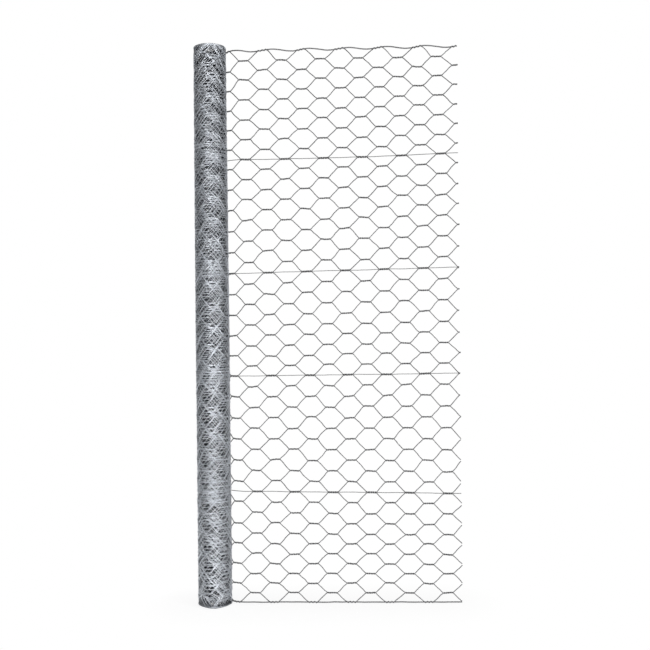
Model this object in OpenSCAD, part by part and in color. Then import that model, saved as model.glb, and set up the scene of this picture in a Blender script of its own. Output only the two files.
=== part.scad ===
// Roll of hexagonal wire netting (chicken wire), standing on its end with
// its free end opened out as a flap. The roll's axis is Z, its lower end is
// at z = 0, and the flap leaves the back of the roll on its right and runs towards +X.

/* [Roll] */
// Height of the roll, which is the width of the netting
roll_length = 1528.4; // [900:0.1:1830]
// Outside diameter of the roll
roll_d = 93; // [70:1:140]
// Diameter of the hole down the middle
bore_d = 24; // [16:1:40]
// Radial distance between the turns that show on the ends
turn_pitch = 1.75; // [1.5:0.05:3]
// Depth of the gap between two turns on an end
turn_gap_depth = 0.8; // [0.3:0.1:1.5]
// Width of the gap between two turns on an end
turn_gap_w = 0.7; // [0.4:0.1:1.2]

/* [Netting] */
// Diameter of the wire
wire_d = 2; // [0.9:0.1:2.5]
// Distance between one column of twists and the next along the netting
column_pitch = 53; // [46:0.5:80]
// Length of a twist
twist_length = 28.5; // [12:0.5:32]
// Thickness of a twist through the netting
twist_thickness = 3.1; // [2:0.1:4]
// Distance between one row of twists and the next, before whole rows are fitted in
row_pitch = 28.1; // [20:0.1:45]
// Distance between one straight wire and the next
line_wire_pitch = 305; // [150:1:460]
// How far each straight wire within the netting lies above its even place, from the bottom
line_wire_shifts = [-0.5, 17.2, -1.6, 7];
// How far the columns are shifted along the netting at each straight wire, from the bottom
column_shifts = [4, 11, 2, -2, -6.5, -14];

/* [Flap] */
// Length of netting opened out of the roll
flap_length = 647; // [200:1:1200]
// Where the flap leaves the roll, measured round from its back
leave_angle = 53; // [20:1:60]
// Radius of the bend that turns the flap away from the roll
bend_radius = 60; // [40:1:120]
// Angle of the flap towards the front
flap_angle = 2.5; // [0:0.5:15]
// Distance along the flap to the middle of its first twist
first_twist = 21; // [15:1:50]
// Gap between the roll and the netting that leaves it
roll_gap = 0.2; // [0.1:0.05:0.3]

/* [Hidden] */
roll_r = roll_d / 2;
bore_r = bore_d / 2;
// Wires are square bars of the same section area
bar_w = wire_d * sqrt(PI) / 2;
// A twist is two wires tall, and three where it wraps a straight wire
twist_h = 2 * wire_d;
wrap_h = 3 * wire_d;
// The straight wires, counted from the bottom selvage to the top one
band_count = max(round((roll_length - wrap_h) / line_wire_pitch), 1);
levels = [0 : band_count];
function at_level(list, level) = lookup(level, [for (i = [0 : len(list) - 1]) [i, list[i]]]);
function line_z(level) = wrap_h / 2 + level * line_wire_pitch + at_level(line_wire_shifts, level - 1);
function level_z(level) =
    level == 0 ? wrap_h / 2
    : level == band_count ? roll_length - wrap_h / 2
    : line_z(level);
// Rows and columns of twists run evenly from one straight wire to the next
bands = [1 : band_count];
function band_height(band) = level_z(band) - level_z(band - 1);
function band_rows(band) = max(round(band_height(band) / row_pitch), 2);
function row_of(level) = level == 0 ? 0 : row_of(level - 1) + band_rows(level);
top_row = row_of(band_count);
function row_z(row) = lookup(row, [for (i = levels) [row_of(i), level_z(i)]]);
function row_shift(row) = lookup(row, [for (i = levels) [row_of(i), at_level(column_shifts, i)]]);
least_rise = min([for (band = bands) band_height(band) / band_rows(band)]);

// Plan of the flap: a bend that starts along the roll, then a straight stretch
leave_r = roll_r + roll_gap + twist_thickness / 2;
bend_centre = (leave_r + bend_radius) * [sin(leave_angle), cos(leave_angle)];
bend_length = bend_radius * (leave_angle - flap_angle) * PI / 180;
bend_steps = 6;
bend_step = bend_length / bend_steps;
function heading(s) = -leave_angle + min(s, bend_length) / bend_radius * 180 / PI;
function on_bend(s) = bend_centre + bend_radius * [sin(heading(s)), -cos(heading(s))];
function plan(s) = on_bend(s) + max(s - bend_length, 0) * [cos(flap_angle), -sin(flap_angle)];
function place(s, z) = [plan(s).x, plan(s).y, z];
// A point to one side of the plan at s
function beside(s, offset) = plan(s) + offset * [-sin(heading(s)), cos(heading(s))];

// Twists stand at every second crossing of the columns and the rows
column_count = ceil((flap_length - first_twist - min(column_shifts)) / column_pitch) + 1;
function has_twist(column, row) = abs(column + row) % 2 == 0;
function twist_middle(column, row) = first_twist + column * column_pitch + row_shift(row);
function is_level(row) = len([for (i = levels) if (row_of(i) == row) i]) > 0;
function row_h(row) = is_level(row) ? wrap_h : twist_h;
function twist_from(column, row) = twist_middle(column, row) - twist_length / 2;
function twist_to(column, row) = twist_middle(column, row) + twist_length / 2;
// The run of a twist past the point where its wires part, so that they stand on it whole
part_slope = least_rise / (column_pitch - twist_length);
function part_length(row) =
    row_h(row) / 2 / part_slope + bar_w / 2 * sqrt(1 + 1 / (part_slope * part_slope)) + wire_d / 4;
// A wire that parts from a twist starts this far above or below the twist's middle
part_h = twist_h / 4;
function in_flap(s) = min(max(s, 0), flap_length);
// A twist or wire that is cut shorter than this at either end of the flap is left out
shortest = wire_d;
function twist_kept(column, row) =
    twist_to(column, row) > shortest && twist_from(column, row) < flap_length - shortest;

// The wire between two columns and two rows goes from one twist on the left to one on the right
function left_row(column, row) = has_twist(column, row) ? row : row + 1;
function right_row(column, row) = has_twist(column, row) ? row + 1 : row;
// Such a wire is a stub of a row if only its end on that row is kept, and then that row's twist carries it
function is_stub(column, row, on) =
    (left_row(column, row) == on && twist_kept(column, on) && !twist_kept(column + 1, right_row(column, row)))
    || (right_row(column, row) == on && twist_kept(column + 1, on) && !twist_kept(column, left_row(column, row)));

// Outline of one end of the roll, from the bore outwards: a flat land for each turn, and a gap
function end_outline(z, inward) = let (
    turns = floor((roll_r - bore_r) / turn_pitch),
    land = turn_pitch - turn_gap_w)
    [for (i = [0 : turns - 1]) let (r = roll_r - (turns - i) * turn_pitch)
        each [
            [i == 0 ? bore_r : r, z],
            [r + land, z],
            if (i < turns - 1) [r + land + turn_gap_w / 2, z + inward * turn_gap_depth]
            else [roll_r, z]
        ]];

function reversed(list) = [for (i = [len(list) - 1 : -1 : 0]) list[i]];

module roll() color("darkgray")
    rotate_extrude($fn = 96)
        polygon(concat(end_outline(0, 1), reversed(end_outline(roll_length, -1))));

// A level bar along the plan of the flap
module level_bar(from, to, z, thickness, height) {
    inner = [for (i = [0 : bend_steps]) if (i * bend_step > from && i * bend_step < to) i * bend_step];
    stations = concat([from], inner, [to]);
    translate([0, 0, z])
        linear_extrude(height, center = true)
            polygon(concat(
                [for (s = stations) beside(s, -thickness / 2)],
                [for (s = reversed(stations)) beside(s, thickness / 2)]));
}

// A straight square bar between two points
module wire_bar(p, q) {
    v = q - p;
    translate(p)
        rotate([0, acos(v.z / norm(v)), atan2(v.y, v.x)])
            linear_extrude(norm(v)) square(bar_w, center = true);
}

module twist(column, row) {
    from = in_flap(twist_from(column, row) - part_length(row));
    to = in_flap(twist_to(column, row) + part_length(row));
    if (twist_kept(column, row))
        level_bar(from, to, row_z(row), twist_thickness, row_h(row));
}

// One wire on its way from a twist to the next column, cut off at the ends of the flap
module slant(column, row) {
    left = left_row(column, row);
    right = right_row(column, row);
    s0 = twist_to(column, left);
    s1 = twist_from(column + 1, right);
    rise = (row_z(right) - row_z(left)) / (s1 - s0);
    inset = part_h / abs(rise);
    from = in_flap(s0 + inset);
    to = in_flap(s1 - inset);
    z0 = row_z(left);
    if (to - from > shortest)
        wire_bar(place(from, z0 + (from - s0) * rise), place(to, z0 + (to - s0) * rise));
}

// A straight wire along the netting, with the twists that wrap it and the cut stubs that those carry
module straight_wire(level) color("gray") {
    row = row_of(level);
    level_bar(0, flap_length, row_z(row), bar_w, bar_w);
    for (column = [-1 : column_count]) {
        if (has_twist(column, row)) twist(column, row);
        if (row > 0 && is_stub(column, row - 1, row)) slant(column, row - 1);
        if (row < top_row && is_stub(column, row, row)) slant(column, row);
    }
}

// The meshes between two straight wires, cut level where they stand on those wires' twists
module mesh_band(band) color("gray") {
    low = row_of(band - 1);
    high = row_of(band);
    reach = roll_d + flap_length + bend_radius;
    intersection() {
        union() {
            for (column = [-1 : column_count]) {
                for (row = [low + 1 : high - 1])
                    if (has_twist(column, row)) twist(column, row);
                for (row = [low : high - 1])
                    if (!is_stub(column, row, low) && !is_stub(column, row, high)) slant(column, row);
            }
        }
        translate([-reach, -reach, row_z(low) + wrap_h / 2])
            cube([2 * reach, 2 * reach, band_height(band) - wrap_h]);
    }
}

roll();
straight_wire(0);  // selvage_wire_bottom
straight_wire(band_count);  // selvage_wire_top
for (i = [1 : 1 : band_count - 1])
    straight_wire(i);
for (i = bands)
    mesh_band(i);
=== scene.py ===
import math

import bpy
from mathutils import Matrix, Vector


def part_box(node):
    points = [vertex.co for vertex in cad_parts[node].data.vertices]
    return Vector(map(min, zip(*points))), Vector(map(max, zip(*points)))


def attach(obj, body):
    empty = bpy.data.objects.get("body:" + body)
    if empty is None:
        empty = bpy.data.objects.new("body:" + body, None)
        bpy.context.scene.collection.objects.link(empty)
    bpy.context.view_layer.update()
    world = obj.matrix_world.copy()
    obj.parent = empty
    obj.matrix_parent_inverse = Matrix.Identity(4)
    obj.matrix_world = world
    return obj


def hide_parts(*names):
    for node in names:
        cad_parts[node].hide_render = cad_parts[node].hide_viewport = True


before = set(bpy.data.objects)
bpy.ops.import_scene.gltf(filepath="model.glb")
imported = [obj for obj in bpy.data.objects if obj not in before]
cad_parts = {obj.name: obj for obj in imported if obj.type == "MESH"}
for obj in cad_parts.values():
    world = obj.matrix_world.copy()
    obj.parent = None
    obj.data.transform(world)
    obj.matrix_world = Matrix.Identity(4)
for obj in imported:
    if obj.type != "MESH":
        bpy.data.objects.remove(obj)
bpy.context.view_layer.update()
rollLow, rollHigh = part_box("roll")
rollRadius = (rollHigh[0] - rollLow[0]) / 2
print("frame loaded, nodes:", len(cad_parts))


class Value:  # a socket whose maths adds nodes
    def __init__(self, board, socket):
        self.board = board
        self.socket = socket

    def __add__(self, other):
        return self.board.math("ADD", self, other)

    def __radd__(self, other):
        return self.board.math("ADD", other, self)

    def __sub__(self, other):
        return self.board.math("SUBTRACT", self, other)

    def __rsub__(self, other):
        return self.board.math("SUBTRACT", other, self)

    def __mul__(self, other):
        return self.board.math("MULTIPLY", self, other)

    def __rmul__(self, other):
        return self.board.math("MULTIPLY", other, self)

    def __truediv__(self, other):
        return self.board.math("DIVIDE", self, other)

    def __rtruediv__(self, other):
        return self.board.math("DIVIDE", other, self)

    def within(self, low, high):
        return self.board.math("MINIMUM", self.board.math("MAXIMUM", self, low), high)


class Board:  # a node tree, with one method that adds any node
    def __init__(self, tree):
        self.tree = tree

    def node(self, kind, settings=None, sockets=None):
        node = self.tree.nodes.new(kind)
        for name, value in (settings or {}).items():
            if name == "stops":
                self.setStops(node.color_ramp, value)
            else:
                setattr(node, name, value)
        for key, value in (sockets or {}).items():
            if isinstance(value, Value):
                self.tree.links.new(value.socket, node.inputs[key])
            else:
                node.inputs[key].default_value = value
        return node

    def setStops(self, ramp, stops):
        while len(ramp.elements) < len(stops):
            ramp.elements.new(1.0)
        for element, (place, colour) in zip(ramp.elements, stops):
            element.position = place
            element.color = colour

    def value(self, kind, output=0, settings=None, sockets=None):
        return Value(self, self.node(kind, settings, sockets).outputs[output])

    def math(self, operation, *values):
        return self.value("ShaderNodeMath", 0, {"operation": operation}, dict(enumerate(values)))

    def vector(self, x, y, z):
        return self.value("ShaderNodeCombineXYZ", 0, None, {"X": x, "Y": y, "Z": z})

    def parts(self, vector):
        node = self.node("ShaderNodeSeparateXYZ", None, {0: vector})
        return [Value(self, node.outputs[i]) for i in range(3)]

    def mix(self, factor, first, second):  # of two colours
        return self.value("ShaderNodeMix", 2, {"data_type": "RGBA"}, {0: factor, 6: first, 7: second})


# the netting, laid flat: s runs along it, rows are half meshes counted from the bottom
netting = {
    "wire": 0.0020,
    "columnPitch": 0.053,
    "twistLength": 0.0285,
    "firstTwist": 0.021,  # along the flap, from the roll to the middle of the first twist
    "bands": [11, 11, 10, 11, 11],  # half meshes between the straight wires, from the bottom
    "lineHeights": [0.0, 0.3045, 0.6272, 0.9134, 1.2270, 1.5224],  # of the straight wires
    "columnShift": [0.004, 0.011, 0.002, -0.002, -0.0065, -0.014],  # along s, at each straight wire
    "endShift": [0.0, -0.009, -0.004, 0.003, 0.007, 0.0],  # added to it from the roll to the cut end
    "lift": [0.003, 0.0, 0.0, 0.0, 0.0, 0.0],  # of each straight wire where it is opened out
    "endLift": [0.002, -0.008, 0.003, 0.010, 0.008, 0.0],  # of each one from the roll to the cut end
    "sag": [0.0, 0.0, 0.0, 0.0, 0.0035, 0.0],  # of each one half-way
    "bow": [-0.0052, 0.0, -0.0022, 0.0026, 0.0012],  # of the rows half-way between two straight wires
    "twistRadius": 0.45,  # of a wire's diameter
    "cornerRound": 0.10,  # of a slanting wire's run, where it bends into a twist
    "wrap": 0.6,  # how much wider a twist is for the straight wire in it
    "topWave": 0.003,  # of the top selvage, which sags from one twist to the next
    "jitterSize": 0.060,
    "jitterDetail": 2.0,
    "jitterRoughness": 0.65,
    "jitter": (0.0050, 0.0050, 0.0020),  # along, across and through the netting
    "held": 0.35,  # share of the jitter across that a straight wire has
}
lineRows = [sum(netting["bands"][:i]) for i in range(len(netting["bands"]) + 1)]
rowCount = lineRows[-1]
sameRow = 0.1  # two row numbers nearer than this are one row
firstRowZ = 1.5 * netting["wire"]  # a straight wire with one more wire wrapped round it

# the flap leaves the roll at the back, bends away and runs straight
flap = {
    "wire": 0.0026,
    "selvage": 0.0034,
    "lineWire": 0.0020,
    "linePoints": 120,
    "length": 0.647,
    "leaveAngle": math.radians(53),
    "leaveRadius": rollRadius + 0.00175,  # to the middle of the netting
    "bendRadius": 0.060,
    "angle": math.radians(2.5),
    "pointsPerColumn": 28,
    "twistPoints": 0.76,  # share of a column's points that go to its twist
    "twistTurns": 3.0,
    "sides": 6,
}

# the wound turns, counted inwards from where the flap leaves: tight outside and looser inside
roll = {
    "settle": 0.0032,  # how far the first turn comes in after the flap leaves it
    "settleAngle": 2.2,  # radians round the back, where it isn't seen
    "raise": 0.0052,  # of the outer turns above the flap
    "raiseDepth": 0.012,  # into the roll, over which that fades
    "sink": 0.0015,  # of the lowest meshes, which stand on the floor
    "ragged": 0.002,  # unevenness of the ends
    "raggedPace": 0.9,  # of it, for each radian
    "wire": 0.0015,
    "twistTurns": 1.0,
    "linePoints": 36,  # of a straight wire in each turn
    "lineSides": 4,
    "jitterThrough": 0.4,  # share of the jitter through the netting that is left when it is wound
    "jitterLost": 0.5,  # share of the jitter across it that is lost
    "stretch": 0.953,  # along the netting, which brings the meshes of the outer turns over one another
    "climb": 0.0080,  # of each turn over the last one, up to the most and back again
    "mostClimb": 0.028,  # either way
    "swaySize": (0.8, 0.50),  # round and up the roll
    "sway": (0.015, 0.012),  # of one turn against the next
    "swaySlice": 0.5,  # of the noise, which fixes its draw
    "swayStart": 0.25,  # of netting behind the flap, over which the slide sets in
    "swayEnds": 0.06,  # where climb and sway fade out, so that the ends stay level
    "girth": 1.030,  # how much wider the lower half is wound
    "taper": 0.052,  # from there to the top
    "taperFrom": 0.75,
}
outerFineness = {"points": 7, "twistPoints": 0.60, "sides": 4}  # points in each column
innerFineness = {"points": 6, "twistPoints": 0.58, "sides": 3}
turnGroups = [
    {"name": "rollTurnsOuter", "turns": 10, "pitch": 0.00012, **outerFineness},
    {"name": "rollTurnsNext", "turns": 10, "pitch": 0.00028, **outerFineness},
    {"name": "rollTurnsMiddle", "turns": 10, "pitch": 0.00065, **innerFineness},
    {"name": "rollTurnsInner", "turns": 17, "pitch": 0.00115, **innerFineness},
]


def newTree(name, inputs):
    tree = bpy.data.node_groups.new(name, "GeometryNodeTree")
    tree.interface.new_socket("Geometry", in_out="OUTPUT", socket_type="NodeSocketGeometry")
    for label, kind in inputs:
        tree.interface.new_socket(label, in_out="INPUT", socket_type="NodeSocket" + kind)
    board = Board(tree)
    given = board.node("NodeGroupInput")
    return board, {label: Value(board, given.outputs[label]) for label, kind in inputs}


def warp(board, x, corner, level):  # in each whole step of x, 0..corner goes to 0..level
    whole = board.math("FLOOR", x)
    part = x - whole
    first = board.math("MINIMUM", part / corner, 1.0)
    second = board.math("MAXIMUM", (part - corner) / (1.0 - corner), 0.0)
    return whole + first * level + second * (1.0 - level)


def overRows(board, row, levels):  # straight from each straight wire's level to the next one's
    level = levels[0]
    for i, count in enumerate(netting["bands"]):
        within = (row - float(lineRows[i])).within(0.0, float(count))
        level = within * ((levels[i + 1] - levels[i]) / count) + level
    return level


def bow(board, row):  # the rows between two straight wires aren't quite evenly spaced
    rise = 0.0
    for lineRow, count, size in zip(lineRows, netting["bands"], netting["bow"]):
        share = ((row - float(lineRow)) / float(count)).within(0.0, 1.0)
        rise = share * (1.0 - share) * (4.0 * size) + rise
    return rise


def shake(board, s, z):  # the netting's own unevenness, the same for every wire at one place
    noise = board.value("ShaderNodeTexNoise", "Color", {"noise_dimensions": "3D"}, {
        "Vector": board.vector(s, z, 0.0), "Scale": 1 / netting["jitterSize"],
        "Detail": netting["jitterDetail"], "Roughness": netting["jitterRoughness"]})
    return [(part - 0.5) * (2 * size) for part, size in zip(board.parts(noise), netting["jitter"])]


def looseness(board, row):  # the rows between the straight wires are free to move
    free = 1.0
    for lineRow in lineRows:
        free = board.math("MINIMUM", board.math("ABSOLUTE", row - float(lineRow)), free)
    return free * (1.0 - netting["held"]) + netting["held"]


def topWave(board, s, row):
    top = (row - float(rowCount - 1)).within(0.0, 1.0)
    firstTwist = netting["firstTwist"] + netting["columnShift"][-1]
    phase = (s - firstTwist) * (math.pi / netting["columnPitch"])
    return board.math("SINE", phase) * top * netting["topWave"]


def sway(board, s, z):  # how far a stretch of a wound turn has slid from its even place
    sizeAround, sizeUp = roll["swaySize"]
    mostAround, mostUp = roll["sway"]
    noise = board.value("ShaderNodeTexNoise", "Color", {"noise_dimensions": "3D"}, {
        "Vector": board.vector(s / sizeAround, z / sizeUp, roll["swaySlice"]),
        "Scale": 1.0, "Detail": 0.0})
    around, up = board.parts(noise)[:2]
    inside = (board.math("MINIMUM", z, rollHigh[2] - z) / roll["swayEnds"]).within(0.0, 1.0)
    turns = s / (-2 * math.pi * flap["leaveRadius"])
    climb = board.math("PINGPONG", turns * roll["climb"], 2 * roll["mostClimb"]) - roll["mostClimb"]
    start = (s / -roll["swayStart"]).within(0.0, 1.0)
    slide = (around - 0.5) * (2 * mostAround) * start
    slip = (climb + (up - 0.5) * (2 * mostUp)) * inside
    return slide, slip


def girthAt(z):  # the roll is a little slimmer towards its top
    up = (z - roll["taperFrom"]).within(0.0, rollHigh[2])
    return roll["girth"] - up * (roll["taper"] / (rollHigh[2] - roll["taperFrom"]))


def onFlap(board, s, n):
    bendLength = flap["bendRadius"] * (flap["leaveAngle"] - flap["angle"])
    heading = board.math("MINIMUM", s, bendLength) / flap["bendRadius"] - flap["leaveAngle"]
    straight = board.math("MAXIMUM", s - bendLength, 0.0)
    reach = flap["leaveRadius"] + flap["bendRadius"]
    out = n - flap["bendRadius"]
    sine = board.math("SINE", heading)
    cosine = board.math("COSINE", heading)
    x = reach * math.sin(flap["leaveAngle"]) - sine * out + straight * math.cos(flap["angle"])
    y = reach * math.cos(flap["leaveAngle"]) + cosine * out - straight * math.sin(flap["angle"])
    return x, y


def onRoll(board, given, s, n, z):
    step = given["Turn pitch"] / (2 * math.pi)
    start = given["Start radius"]
    radius = board.math("SQRT", (s - given["To"]) * step * 2.0 + start * start)
    angle = (start - radius) / step + given["Start angle"]
    settled = board.math("MINIMUM", angle / roll["settleAngle"], 1.0)
    settled = settled * settled * (3.0 - settled * 2.0)
    out = (radius + n - settled * roll["settle"]) * (1.0 + settled * (girthAt(z) - 1.0))
    around = flap["leaveAngle"] - angle
    depth = board.math("MINIMUM", (flap["leaveRadius"] - radius) / roll["raiseDepth"], 1.0)
    slack = board.value("ShaderNodeTexNoise", 0, {"noise_dimensions": "1D"},
                        {"W": angle * roll["raggedPace"], "Scale": 1.0, "Detail": 1.0})
    lift = ((1.0 - depth) * roll["raise"] + slack * roll["ragged"]) * settled
    return board.math("SINE", around) * out, board.math("COSINE", around) * out, lift, settled


def straightPath(board, given, copyIndex, factor):
    row = 0.0
    for i, lineRow in enumerate(lineRows):
        here = board.math("COMPARE", copyIndex + given["First wire"], float(i), sameRow)
        row = here * float(lineRow) + row
    s = given["From"] + (given["To"] - given["From"]) * factor
    return s, overRows(board, row, netting["lineHeights"]) + firstRowZ, 0.0, row


def meshPath(board, given, copyIndex, factor, wound):
    wire = copyIndex + given["First wire"]
    share = netting["twistLength"] / netting["columnPitch"]
    drift = overRows(board, wire + 0.5, netting["endShift"])
    first = overRows(board, wire + 0.5, netting["columnShift"]) + netting["firstTwist"] - drift * 0.5
    stretch = roll["stretch"] if wound else 1.0 / (1.0 - drift / flap["length"])
    first = first * stretch
    pitch = netting["columnPitch"] * stretch
    start = (given["From"] - first) / pitch + share / 2
    end = (given["To"] - first) / pitch + share / 2
    startStep = warp(board, start, share, given["Twist points"])
    endStep = warp(board, end, share, given["Twist points"])
    step = startStep + (endStep - startStep) * factor
    place = warp(board, step, given["Twist points"], share) - share / 2
    swing = board.math("ABSOLUTE", board.math("FLOORED_MODULO", place + wire + 1.0, 2.0) - 1.0)
    rise = (swing - share / 2) / (1 - share)
    rise = board.math("SMOOTH_MIN", rise, 1.0, netting["cornerRound"])
    rise = board.math("SMOOTH_MAX", rise, 0.0, netting["cornerRound"])
    twistRow = wire + board.math("ROUND", rise)
    wraps = 0.0
    for lineRow in lineRows:
        wraps = board.math("COMPARE", twistRow, float(lineRow), sameRow) + wraps
    offset = (1.0 - rise * 2.0) * (wraps * netting["wrap"] + 1.0)
    offset = offset * given["Wire"] * netting["twistRadius"]
    along = ((place - board.math("ROUND", place)) / share + 0.5).within(0.0, 1.0)
    phase = along * given["Twist turns"] * (2 * math.pi)
    row = wire + rise
    z = overRows(board, row, netting["lineHeights"]) + offset * board.math("COSINE", phase) + firstRowZ
    return place * pitch + first, z, offset * board.math("SINE", phase), row


def nettingTree(name, wound, straight, material):
    board, given = newTree(name, [
        ("First wire", "Int"), ("Wires", "Int"), ("From", "Float"), ("To", "Float"), ("Points", "Int"),
        ("Twist points", "Float"), ("Twist turns", "Float"), ("Wire", "Float"), ("Sides", "Int"),
        ("Turn pitch", "Float"), ("Start radius", "Float"), ("Start angle", "Float")])
    line = board.value("GeometryNodeCurvePrimitiveLine", "Curve")
    line = board.value("GeometryNodeResampleCurve", "Curve", {"mode": "COUNT"},
                       {"Curve": line, "Count": given["Points"]})
    copies = board.node("GeometryNodeDuplicateElements", {"domain": "SPLINE"},
                        {"Geometry": line, "Amount": given["Wires"]})
    copyIndex = Value(board, copies.outputs["Duplicate Index"])
    factor = board.value("GeometryNodeSplineParameter", "Factor")
    if straight:
        s, z, n, row = straightPath(board, given, copyIndex, factor)
    else:
        s, z, n, row = meshPath(board, given, copyIndex, factor, wound)
    shiftS, shiftZ, shiftN = shake(board, s, z)
    shiftZ = shiftZ * looseness(board, row)
    lift = overRows(board, row, netting["lift"]) + bow(board, row)
    endLift = overRows(board, row, netting["endLift"])
    if wound:
        slide, slip = sway(board, s, z)
        through = shiftN * roll["jitterThrough"] + n
        x, y, rollLift, settled = onRoll(board, given, s + shiftS + slide, through, z)
        z = z + shiftZ * (1.0 - settled * roll["jitterLost"]) + (lift - endLift * 0.5) * (1.0 - settled)
        low = (1.0 - row / netting["bands"][0]).within(0.0, 1.0)
        z = z + rollLift + (slip - low * roll["sink"]) * settled
    else:
        x, y = onFlap(board, s + shiftS, shiftN + n)
        share = s / flap["length"]
        sag = overRows(board, row, netting["sag"]) * share * (1.0 - share) * 4.0
        z = z + shiftZ + lift + endLift * (share - 0.5) - sag + topWave(board, s, row)
    z = board.math("MAXIMUM", z, given["Wire"] * 0.5)
    wires = Value(board, copies.outputs["Geometry"])
    moved = board.value("GeometryNodeSetPosition", "Geometry", None,
                        {"Geometry": wires, "Position": board.vector(x, y, z)})
    ring = board.value("GeometryNodeCurvePrimitiveCircle", "Curve", {"mode": "RADIUS"},
                       {"Resolution": given["Sides"], "Radius": given["Wire"] * 0.5})
    tube = board.value("GeometryNodeCurveToMesh", "Mesh", None,
                       {"Curve": moved, "Profile Curve": ring, "Fill Caps": True})
    smooth = board.value("GeometryNodeSetShadeSmooth", "Geometry", {"domain": "FACE"}, {0: tube})
    real = board.value("GeometryNodeRealizeInstances", "Geometry", None, {0: smooth})
    board.node("NodeGroupOutput", None, {0: board.value(
        "GeometryNodeSetMaterial", "Geometry", None, {0: real, "Material": material})})
    return board.tree


def grow(name, tree, values):
    piece = bpy.data.objects.new(name, bpy.data.meshes.new(name))
    bpy.context.scene.collection.objects.link(piece)
    modifier = piece.modifiers.new("netting", "NODES")
    modifier.node_group = tree
    for item in tree.interface.items_tree:
        if item.in_out == "INPUT" and item.name in values:
            modifier[item.identifier] = values[item.name]
    seen = piece.evaluated_get(bpy.context.evaluated_depsgraph_get())
    mesh = bpy.data.meshes.new_from_object(seen)
    piece.modifiers.remove(modifier)
    piece.data = mesh
    mesh.name = name
    triangles = sum(len(face.vertices) - 2 for face in mesh.polygons)
    print("made", name, "triangles", triangles)
    return piece


zinc = {  # what both finishes share
    "spangleScale": 420.0,
    "grainScale": 90.0,
    "grainDetail": 3.0,
    "patchDetail": 1.0,
    "spangleShare": 0.30,  # of the tone
    "grainShare": 0.25,
    "patchShare": 0.45,
    "darkTone": 0.25,
    "lightTone": 0.75,
    "grainRoughness": 0.2,
    "lumpScale": 700.0,
    "lumpDetail": 2.0,
    "lumpStrength": 0.4,
    "lumpHeight": 0.0002,
}
# painted shade: the same zinc as the roll's, painted much darker for the flap's wires, which stand
# against the white backdrop
flapShadedFinish = {
    "dark": (0.135, 0.136, 0.139, 1),
    "light": (0.215, 0.216, 0.220, 1),
    "patchScale": 32.0,
    "metallic": 0.8,
    "roughness": 0.35,
}
rollFinish = {
    "dark": (0.60, 0.63, 0.67, 1),
    "light": (0.87, 0.90, 0.95, 1),
    "patchScale": 60.0,
    "metallic": 0.88,
    "roughness": 0.32,
    "paintedShade": (0.10, 0.105, 0.12, 1),  # painted shade of the turns further in, which the outer turns shade
    "deepRadius": 0.0408,
    "openRadius": 0.0445,
    "endDepth": 0.008,  # near the ends, where the inner turns are seen, the painted shade is lifted
    "endReach": 1.5,  # in end depths
    "endShare": 0.8,  # of the open colour there
    "footShadeHeight": 0.030,  # painted shade: darker towards the floor, which dims the white floor's reflection in the lowest wires
    "footShadeShare": 0.30,  # of the unshaded colour at the floor
}


def zincMaterial(name, look):
    material = bpy.data.materials.new(name)
    material.use_nodes = True
    material.node_tree.nodes.clear()
    board = Board(material.node_tree)
    place = board.value("ShaderNodeTexCoord", "Object")

    def noise(scale, detail):
        return board.value("ShaderNodeTexNoise", 0, None, {
            "Vector": place, "Scale": scale, "Detail": detail})

    spangle = board.parts(board.value("ShaderNodeTexVoronoi", "Color", None, {
        "Vector": place, "Scale": zinc["spangleScale"]}))[0]
    grain = noise(zinc["grainScale"], zinc["grainDetail"])
    patch = noise(look["patchScale"], zinc["patchDetail"])
    tone = spangle * zinc["spangleShare"] + grain * zinc["grainShare"] + patch * zinc["patchShare"]
    stops = [(zinc["darkTone"], look["dark"]), (zinc["lightTone"], look["light"])]
    colour = board.value("ShaderNodeValToRGB", "Color", {"stops": stops}, {"Fac": tone})
    # painted shade: the turns further into the roll are painted darker, towards the painted shade
    # colour, except near the ends
    if "paintedShade" in look:
        x, y, z = board.parts(place)
        radius = board.math("SQRT", x * x + y * y) / girthAt(z)
        depth = look["openRadius"] - look["deepRadius"]
        unshadedShare = ((radius - look["deepRadius"]) / depth).within(0.0, 1.0)
        toEnd = board.math("MINIMUM", z, rollHigh[2] - z)
        atEnd = (look["endReach"] - toEnd / look["endDepth"]).within(0.0, look["endShare"])
        colour = board.mix(board.math("MAXIMUM", unshadedShare, atEnd), look["paintedShade"], colour)
        # painted shade: darker towards the floor
        floorShade = (z / look["footShadeHeight"]).within(look["footShadeShare"], 1.0)
        colour = board.mix(floorShade, look["paintedShade"], colour)
    lumps = noise(zinc["lumpScale"], zinc["lumpDetail"])
    bump = board.value("ShaderNodeBump", "Normal", None, {
        "Strength": zinc["lumpStrength"], "Distance": zinc["lumpHeight"], "Height": lumps})
    roughness = look["roughness"] + grain * zinc["grainRoughness"]
    shader = board.value("ShaderNodeBsdfPrincipled", "BSDF", None, {
        "Base Color": colour, "Metallic": look["metallic"], "Roughness": roughness, "Normal": bump})
    board.node("ShaderNodeOutputMaterial", None, {"Surface": shader})
    return material


# the flap's finish holds painted shade and is darker than the roll's
flapShadedZinc = zincMaterial("flapShadedZinc", flapShadedFinish)
rollZinc = zincMaterial("rollZinc", rollFinish)

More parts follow.
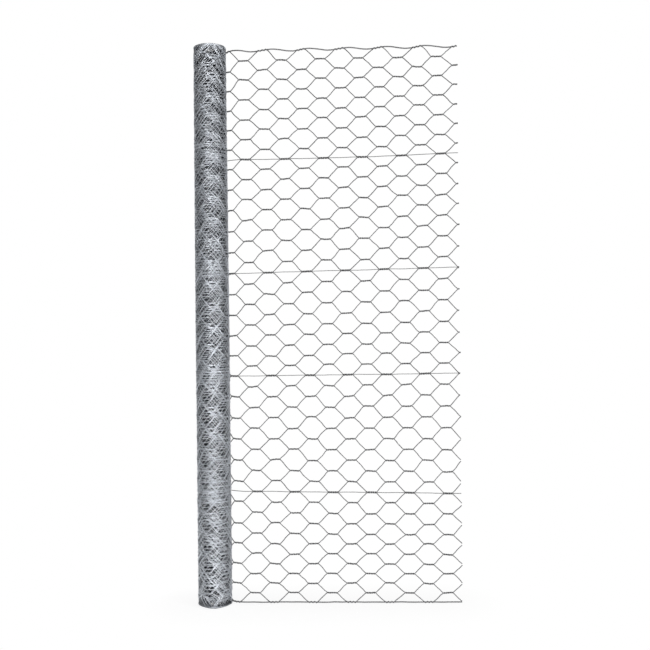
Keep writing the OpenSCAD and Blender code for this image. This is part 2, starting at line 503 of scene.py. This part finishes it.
# the flap: a band of netting between each pair of straight wires
flapColumns = flap["length"] / netting["columnPitch"]
bandTree = nettingTree("flapBand", False, False, flapShadedZinc)
wireTree = nettingTree("flapStraightWire", False, True, flapShadedZinc)
common = {"From": 0.0, "To": flap["length"], "Wire": flap["wire"], "Sides": flap["sides"],
          "Twist points": flap["twistPoints"], "Twist turns": flap["twistTurns"]}
for i, count in enumerate(netting["bands"]):
    band = grow(f"meshBand{i + 1}", bandTree, {
        **common, "First wire": lineRows[i], "Wires": count,
        "Points": round(flapColumns * flap["pointsPerColumn"])})
    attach(band, "root")
    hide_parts(f"mesh_band_{i + 1}")
straightNames = ["selvage_wire_bottom"]
straightNames += [f"line_wire_{i}" for i in range(1, len(lineRows) - 1)]
straightNames += ["selvage_wire_top"]
for i, node in enumerate(straightNames):
    thickness = flap["selvage"] if node.startswith("selvage") else flap["lineWire"]
    line = grow("straight_" + node, wireTree, {
        **common, "First wire": i, "Wires": 1, "Wire": thickness, "Points": flap["linePoints"]})
    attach(line, "root")
    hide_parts(node)

# the roll: every turn of netting, finer outside than inside, with its straight wires
turnTree = nettingTree("rollTurns", True, False, rollZinc)
turnWireTree = nettingTree("rollStraightWires", True, True, rollZinc)
radius, angle, place = flap["leaveRadius"], 0.0, 0.0
for group in turnGroups:
    inner = radius - group["turns"] * group["pitch"]
    length = math.pi * group["turns"] * (radius + inner)
    values = {
        "From": place - length, "To": place, "Wire": roll["wire"], "Sides": group["sides"],
        "Twist points": group["twistPoints"], "Twist turns": roll["twistTurns"],
        "Turn pitch": group["pitch"], "Start radius": radius, "Start angle": angle}
    meshes = grow(group["name"], turnTree, {
        **values, "First wire": 0, "Wires": rowCount,
        "Points": round(length / (netting["columnPitch"] * roll["stretch"]) * group["points"])})
    lines = grow(group["name"] + "Lines", turnWireTree, {
        **values, "First wire": 0, "Wires": len(lineRows),
        "Points": group["turns"] * roll["linePoints"], "Sides": roll["lineSides"]})
    for piece in (meshes, lines):
        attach(piece, "root")
        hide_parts("roll")
    radius, angle, place = inner, angle + 2 * math.pi * group["turns"], place - length
print("netting wound on the roll, m:", round(-place, 2))

# camera, lamps, floor and backdrop
camera = {
    "frame": 650,  # pixels across the picture
    "focal": 908.0,  # pixels
    "distance": 2.5,  # from the roll's axis
    "x": 0.3096,
    "height": 0.7672,
    "roll": math.radians(-0.6),
    "sensor": 36.0,
}
view = bpy.data.cameras.new("view")
view.sensor_width = camera["sensor"]
view.lens = camera["focal"] / camera["frame"] * camera["sensor"]
viewer = bpy.data.objects.new("view", view)
bpy.context.scene.collection.objects.link(viewer)
viewer.matrix_world = (Matrix.Translation((camera["x"], -camera["distance"], camera["height"]))
                       @ Matrix.Rotation(math.pi / 2, 4, "X") @ Matrix.Rotation(camera["roll"], 4, "Z"))
bpy.context.scene.camera = viewer


def softBox(name, lamp):
    light = bpy.data.lights.new(name, "AREA")
    light.shape = "RECTANGLE"
    light.size, light.size_y = lamp["size"]
    light.energy = lamp["power"]
    box = bpy.data.objects.new(name, light)
    bpy.context.scene.collection.objects.link(box)
    aim = Vector(lamp["target"]) - Vector(lamp["place"])
    turn = aim.to_track_quat("-Z", "Y").to_matrix().to_4x4()
    box.matrix_world = Matrix.Translation(lamp["place"]) @ turn


def seenRays(board, mirrored):  # the rays that show the white studio itself
    path = board.node("ShaderNodeLightPath")
    glossy = Value(board, path.outputs["Is Glossy Ray"]) * mirrored
    seen = board.math("MAXIMUM", Value(board, path.outputs["Is Camera Ray"]), glossy)
    return board.math("MAXIMUM", seen, Value(board, path.outputs["Is Transmission Ray"]))


keyLamp = {
    "place": (-0.2, -3.6, 0.8),
    "target": (0.2, 0.0, 0.8),
    "size": (2.4, 1.4),
    "power": 90.0,
}
fillLamp = {
    "place": (2.6, -2.3, 1.0),
    "target": (0.2, 0.0, 0.8),
    "size": (1.4, 1.8),
    "power": 48.0,
}
softBox("key", keyLamp)
softBox("fill", fillLamp)

floor = {
    "size": 1.6,  # from the roll's axis to each side
    "middle": 0.3,  # of the object, along x
    "halfLength": 0.3,
    "reach": 0.20,  # from the object, within which its shadow is kept
    "glow": 0.16,  # what the floor's own light gives up there
    "matt": 0.36,  # what takes its place and can be shaded
    "colour": (0.85, 0.85, 0.85, 1),  # for the light that it throws back
}
floorMesh = bpy.data.meshes.new("floor")
corners = [(-1, -1), (1, -1), (1, 1), (-1, 1)]
spread = [(x * floor["size"], y * floor["size"], 0.0) for x, y in corners]
floorMesh.from_pydata(spread, [], [(0, 1, 2, 3)])
floorPiece = bpy.data.objects.new("floor", floorMesh)
bpy.context.scene.collection.objects.link(floorPiece)
paper = bpy.data.materials.new("paper")
paper.use_nodes = True
paper.node_tree.nodes.clear()
board = Board(paper.node_tree)
spot = board.parts(board.value("ShaderNodeTexCoord", "Object"))
aside = board.math("ABSOLUTE", spot[0] - floor["middle"])
across = board.math("MAXIMUM", aside - floor["halfLength"], 0.0)
away = board.math("SQRT", across * across + spot[1] * spot[1])
near = board.math("MAXIMUM", 1.0 - away / floor["reach"], 0.0)
white, black = (1, 1, 1, 1), (0, 0, 0, 1)
glow = board.value("ShaderNodeEmission", "Emission", None, {
    "Color": board.mix(near * floor["glow"], white, black), "Strength": 1.0})
shaded = board.value("ShaderNodeBsdfDiffuse", "BSDF", None, {
    "Color": board.mix(near * floor["matt"], black, white)})
lit = board.value("ShaderNodeAddShader", "Shader", None, {0: glow, 1: shaded})
matt = board.value("ShaderNodeBsdfDiffuse", "BSDF", None, {"Color": floor["colour"]})
board.node("ShaderNodeOutputMaterial", None, {"Surface": board.value(
    "ShaderNodeMixShader", "Shader", None, {0: seenRays(board, 1.0), 1: matt, 2: lit})})
floorMesh.materials.append(paper)

studio = {
    "whiteFrom": 0.55,  # how far ahead a mirrored ray points where the white backdrop starts
    "whiteEdge": 5.0,
    "light": 0.1,  # that the room gives from all sides
}
world = bpy.data.worlds.new("studio")
bpy.context.scene.world = world
world.use_nodes = True
world.node_tree.nodes.clear()
board = Board(world.node_tree)
ahead = board.parts(board.value("ShaderNodeTexCoord", "Generated"))[1]
backdrop = ((ahead - studio["whiteFrom"]) * studio["whiteEdge"]).within(0.0, 1.0)
strength = seenRays(board, backdrop) * (1.0 - studio["light"]) + studio["light"]
board.node("ShaderNodeOutputWorld", None, {"Surface": board.value(
    "ShaderNodeBackground", "Background", None, {"Color": white, "Strength": strength})})
print("camera, lamps, floor and backdrop set")

bpy.context.scene.view_settings.view_transform = "Standard"
